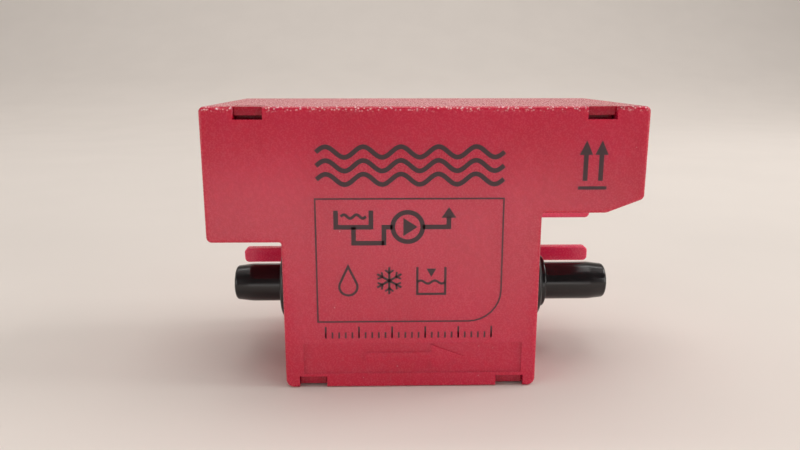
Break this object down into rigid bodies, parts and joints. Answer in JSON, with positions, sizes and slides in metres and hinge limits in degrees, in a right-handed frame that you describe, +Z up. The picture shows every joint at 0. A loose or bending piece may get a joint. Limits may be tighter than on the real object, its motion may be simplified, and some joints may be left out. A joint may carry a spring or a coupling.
{
  "type": "condensate pump",
  "caption": "Mini oscillating-piston condensate pump in a T-shaped two-part housing, with a straight hose spigot on each side, plug-in sockets and mounting ears.",
  "frame": {"origin": "middle of the head in X, joint plane between the half shells in Y, bottom of the leg in Z", "axes": "+X from the inlet spigot to the outlet spigot along the pump's axis, +Y from the front face to the back, +Z up"},
  "size_m": [0.08, 0.04, 0.0532],
  "materials": {
    "red_housing": "moulded PC/ABS, fine spark-eroded texture",
    "black_spigot": "glossy moulded PA",
    "damper_rubber": "matte moulded EPDM",
    "nylon_tube": "natural moulded PA",
    "magnetic_steel": "zinc plated",
    "stainless_steel": "drawn tube",
    "spring_steel": "drawn wire",
    "seal_rubber": "matte moulded",
    "bobbin_plastic": "glass-filled PA",
    "copper_winding": "enamelled copper wire",
    "tinned_brass": "tinned",
    "lead_insulation": "PVC insulation",
    "cutout_can": "drawn can",
    "board_laminate": "solder resist on glass-epoxy",
    "zinc_screw": "zinc plated",
    "relay_case": "moulded PBT",
    "capacitor_box": "moulded box",
    "capacitor_can": "sleeved can",
    "varistor_coating": "epoxy dip coat",
    "epoxy_body": "moulded epoxy",
    "fuse_body": "ceramic tube",
    "resistor_body": "lacquered film",
    "socket_plastic": "moulded PA66"
  },
  "bodies": {
    "housing": {"front_cover": "red_housing", "rear_housing": "red_housing", "inlet_spigot": "black_spigot", "outlet_spigot": "black_spigot", "inlet_damper": "damper_rubber", "outlet_damper": "damper_rubber", "pump_tube": "nylon_tube", "buffer_spring": "spring_steel", "main_spring": "spring_steel", "pump_cylinder": "nylon_tube", "plunger_seal": "seal_rubber", "suction_valve_spring": "spring_steel", "outlet_seat": "seal_rubber", "outlet_valve_spring": "spring_steel", "inlet_o_ring": "seal_rubber", "outlet_o_ring": "seal_rubber", "coil_bobbin": "bobbin_plastic", "coil_winding": "copper_winding", "coil_terminals": "tinned_brass", "coil_leads": "lead_insulation", "yoke": "magnetic_steel", "inlet_pole_sleeve": "magnetic_steel", "outlet_pole_sleeve": "magnetic_steel", "gap_spacer": "bobbin_plastic", "thermal_cutout": "cutout_can", "cutout_leads": "lead_insulation", "circuit_board": "board_laminate", "board_screws": "zinc_screw", "relay": "relay_case", "film_capacitor": "capacitor_box", "electrolytic_capacitor": "capacitor_can", "varistor": "varistor_coating", "triac": "epoxy_body", "fuse": "fuse_body", "controller_chip": "epoxy_body", "resistors": "resistor_body", "supply_socket": "socket_plastic", "supply_contacts": "tinned_brass", "sensor_socket": "socket_plastic", "sensor_contacts": "tinned_brass"},
    "piston": {"armature": "magnetic_steel", "plunger": "stainless_steel"},
    "suction_poppet": {"suction_valve": "nylon_tube"},
    "outlet_valve": {"outlet_ball": "seal_rubber"}
  },
  "joints": [
    {"name": "piston_slide", "type": "slide", "parent": "housing", "child": "piston", "axis": [1, 0, 0], "range_m": [-0.0015, 0.0025], "stiffness_N_per_m": 900, "deforming": ["buffer_spring", "main_spring", "suction_valve_spring"]},
    {"name": "suction_valve_slide", "type": "slide", "parent": "piston", "child": "suction_poppet", "axis": [1, 0, 0], "range_m": [0, 0.0008], "stiffness_N_per_m": 60, "deforming": ["suction_valve_spring"]},
    {"name": "outlet_valve_slide", "type": "slide", "parent": "housing", "child": "outlet_valve", "axis": [1, 0, 0], "range_m": [0, 0.0012], "stiffness_N_per_m": 80, "deforming": ["outlet_valve_spring"]}
  ]
}
